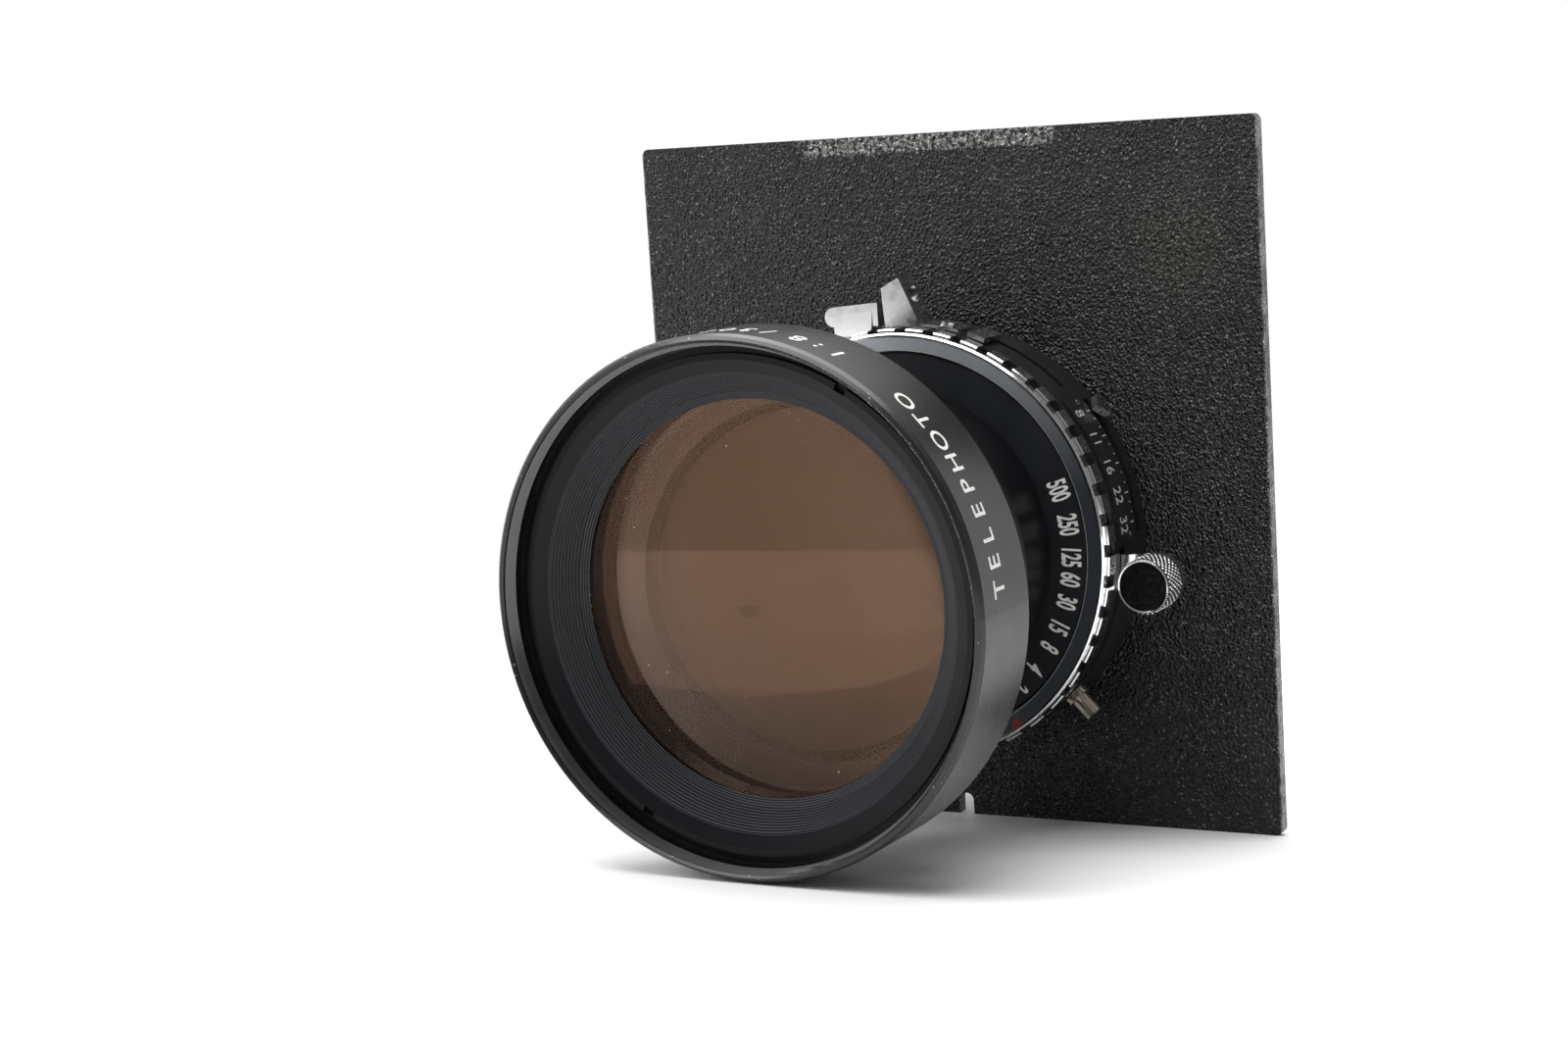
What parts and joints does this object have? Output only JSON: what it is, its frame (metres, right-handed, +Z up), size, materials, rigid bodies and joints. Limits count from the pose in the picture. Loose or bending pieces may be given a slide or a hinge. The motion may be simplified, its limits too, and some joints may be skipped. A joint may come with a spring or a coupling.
{
  "type": "large-format camera lens",
  "caption": "Telephoto lens in a leaf shutter on a flat lens board, with speed ring, aperture lever, cocking lever, release lever and cable socket.",
  "frame": {"origin": "on the optical axis, at the front face of the lens board", "axes": "-Y along the optical axis towards the subject, +Y towards the film, +Z up the board, +X to the right as seen from the front"},
  "size_m": [0.096, 0.0985, 0.099],
  "materials": {
    "board_paint": "wrinkle paint",
    "case_black": "satin black enamel",
    "satin_chrome": "satin chrome plate",
    "ring_grey": "grey anodised face with bright chromed teeth",
    "red_paint": "paint fill",
    "bright_chrome": "knurled bright chrome",
    "insert_black": "gloss",
    "steel": "turned",
    "brass": "turned",
    "nickel": "worn nickel plate",
    "insulator": "matte",
    "barrel_black": "satin black anodised",
    "coated_glass": "amber anti-reflection coating",
    "blade_black": "blackened spring steel"
  },
  "bodies": {
    "root": {"lens_board": "board_paint", "retaining_ring": "case_black", "shutter_case": "case_black", "aperture_scale": "case_black", "face_plate": "case_black", "mechanism_plate": "satin_chrome", "cable_release_bracket": "satin_chrome", "release_pivot": "steel", "release_spring": "steel", "main_spring": "steel", "retard_axles": "steel", "bracket_screws": "steel", "scale_screws": "steel", "sync_collar": "nickel", "sync_sleeve": "nickel", "sync_pin": "nickel", "sync_insulator": "insulator", "front_barrel": "barrel_black", "name_ring": "barrel_black", "baffle_ring": "barrel_black", "front_spacer": "barrel_black", "front_inner_ring": "barrel_black", "middle_spacer": "barrel_black", "rear_barrel": "barrel_black", "rear_spacer": "barrel_black", "rear_retainer": "barrel_black", "front_element": "coated_glass", "second_element": "coated_glass", "third_element": "coated_glass", "fourth_element": "coated_glass", "rear_element": "coated_glass"},
    "speed_ring": {"speed_ring": "ring_grey", "speed_index": "red_paint"},
    "aperture_control": {"aperture_ring": "satin_chrome", "aperture_pointer": "case_black"},
    "focus_control": {"blade_ring": "satin_chrome"},
    "cocking_lever": {"cocking_ring": "satin_chrome", "cocking_knob": "bright_chrome", "knob_insert": "insert_black", "knob_screw": "steel"},
    "release": {"release_lever": "satin_chrome"},
    "iris_1": {"iris_blade_1": "blade_black"},
    "iris_2": {"iris_blade_2": "blade_black"},
    "iris_3": {"iris_blade_3": "blade_black"},
    "iris_4": {"iris_blade_4": "blade_black"},
    "iris_5": {"iris_blade_5": "blade_black"},
    "leaf_1": {"shutter_blade_1": "blade_black"},
    "leaf_2": {"shutter_blade_2": "blade_black"},
    "leaf_3": {"shutter_blade_3": "blade_black"},
    "leaf_4": {"shutter_blade_4": "blade_black"},
    "leaf_5": {"shutter_blade_5": "blade_black"},
    "retard_1": {"retard_gear_1": "brass"},
    "retard_2": {"retard_gear_2": "brass"},
    "retard_3": {"retard_gear_3": "brass"}
  },
  "joints": [
    {"name": "speed_turn", "type": "hinge", "parent": "root", "child": "speed_ring", "pos_m": [0, -0.0145, 0], "axis": [0, -1, 0], "range_deg": [-10, 76]},
    {"name": "aperture_turn", "type": "hinge", "parent": "root", "child": "aperture_control", "pos_m": [0, -0.0041, 0], "axis": [0, -1, 0], "range_deg": [-30.8, 0]},
    {"name": "focus_turn", "type": "hinge", "parent": "root", "child": "focus_control", "pos_m": [0, -0.007, 0], "axis": [0, -1, 0], "range_deg": [-18, 0]},
    {"name": "cocking_turn", "type": "hinge", "parent": "root", "child": "cocking_lever", "pos_m": [0, -0.0099, 0], "axis": [0, -1, 0], "range_deg": [-38, 0], "stiffness_Nm_per_rad": 0.05, "springref_deg": 14.32},
    {"name": "release_press", "type": "hinge", "parent": "root", "child": "release", "pos_m": [-0.0086, -0.0115, 0.0212], "axis": [0, -1, 0], "range_deg": [0, 9], "stiffness_Nm_per_rad": 0.05, "springref_deg": -8.59},
    {"name": "iris_swing_1", "type": "hinge", "parent": "root", "child": "iris_1", "pos_m": [0.02314, -0.0012, 0.00408], "axis": [0, -1, 0], "range_deg": [-24, 0]},
    {"name": "iris_swing_2", "type": "hinge", "parent": "root", "child": "iris_2", "pos_m": [0.00327, -0.0012, 0.02327], "axis": [0, -1, 0], "range_deg": [-24, 0]},
    {"name": "iris_swing_3", "type": "hinge", "parent": "root", "child": "iris_3", "pos_m": [-0.02112, -0.0012, 0.0103], "axis": [0, -1, 0], "range_deg": [-24, 0]},
    {"name": "iris_swing_4", "type": "hinge", "parent": "root", "child": "iris_4", "pos_m": [-0.01632, -0.0012, -0.0169], "axis": [0, -1, 0], "range_deg": [-24, 0]},
    {"name": "iris_swing_5", "type": "hinge", "parent": "root", "child": "iris_5", "pos_m": [0.01103, -0.0012, -0.02075], "axis": [0, -1, 0], "range_deg": [-24, 0]},
    {"name": "leaf_swing_1", "type": "hinge", "parent": "root", "child": "leaf_1", "pos_m": [0.01792, -0.0082, 0.01856], "axis": [0, -1, 0], "range_deg": [0, 29.7]},
    {"name": "leaf_swing_2", "type": "hinge", "parent": "root", "child": "leaf_2", "pos_m": [-0.01211, -0.0082, 0.02278], "axis": [0, -1, 0], "range_deg": [0, 29.7]},
    {"name": "leaf_swing_3", "type": "hinge", "parent": "root", "child": "leaf_3", "pos_m": [-0.02541, -0.0082, -0.00448], "axis": [0, -1, 0], "range_deg": [0, 29.7]},
    {"name": "leaf_swing_4", "type": "hinge", "parent": "root", "child": "leaf_4", "pos_m": [-0.00359, -0.0082, -0.02555], "axis": [0, -1, 0], "range_deg": [0, 29.7]},
    {"name": "leaf_swing_5", "type": "hinge", "parent": "root", "child": "leaf_5", "pos_m": [0.02319, -0.0082, -0.01131], "axis": [0, -1, 0], "range_deg": [0, 29.7]},
    {"name": "retard_spin_1", "type": "hinge", "parent": "root", "child": "retard_1", "pos_m": [-0.02201, -0.0096, -0.00631], "axis": [0, -1, 0], "range_deg": [-180, 180]},
    {"name": "retard_spin_2", "type": "hinge", "parent": "root", "child": "retard_2", "pos_m": [-0.02029, -0.0096, -0.01062], "axis": [0, -1, 0], "range_deg": [-180, 180]},
    {"name": "retard_spin_3", "type": "hinge", "parent": "root", "child": "retard_3", "pos_m": [-0.01773, -0.0096, -0.01449], "axis": [0, -1, 0], "range_deg": [-180, 180]}
  ],
  "couplings": [
    {"joint": "iris_swing_1", "follows": "aperture_turn", "ratio": 0.774},
    {"joint": "iris_swing_2", "follows": "aperture_turn", "ratio": 0.774},
    {"joint": "iris_swing_3", "follows": "aperture_turn", "ratio": 0.774},
    {"joint": "iris_swing_4", "follows": "aperture_turn", "ratio": 0.774},
    {"joint": "iris_swing_5", "follows": "aperture_turn", "ratio": 0.774},
    {"joint": "leaf_swing_1", "follows": "focus_turn", "ratio": -1.647},
    {"joint": "leaf_swing_2", "follows": "focus_turn", "ratio": -1.647},
    {"joint": "leaf_swing_3", "follows": "focus_turn", "ratio": -1.647},
    {"joint": "leaf_swing_4", "follows": "focus_turn", "ratio": -1.647},
    {"joint": "leaf_swing_5", "follows": "focus_turn", "ratio": -1.647},
    {"joint": "retard_spin_2", "follows": "retard_spin_1", "ratio": -1},
    {"joint": "retard_spin_3", "follows": "retard_spin_1", "ratio": 1}
  ]
}
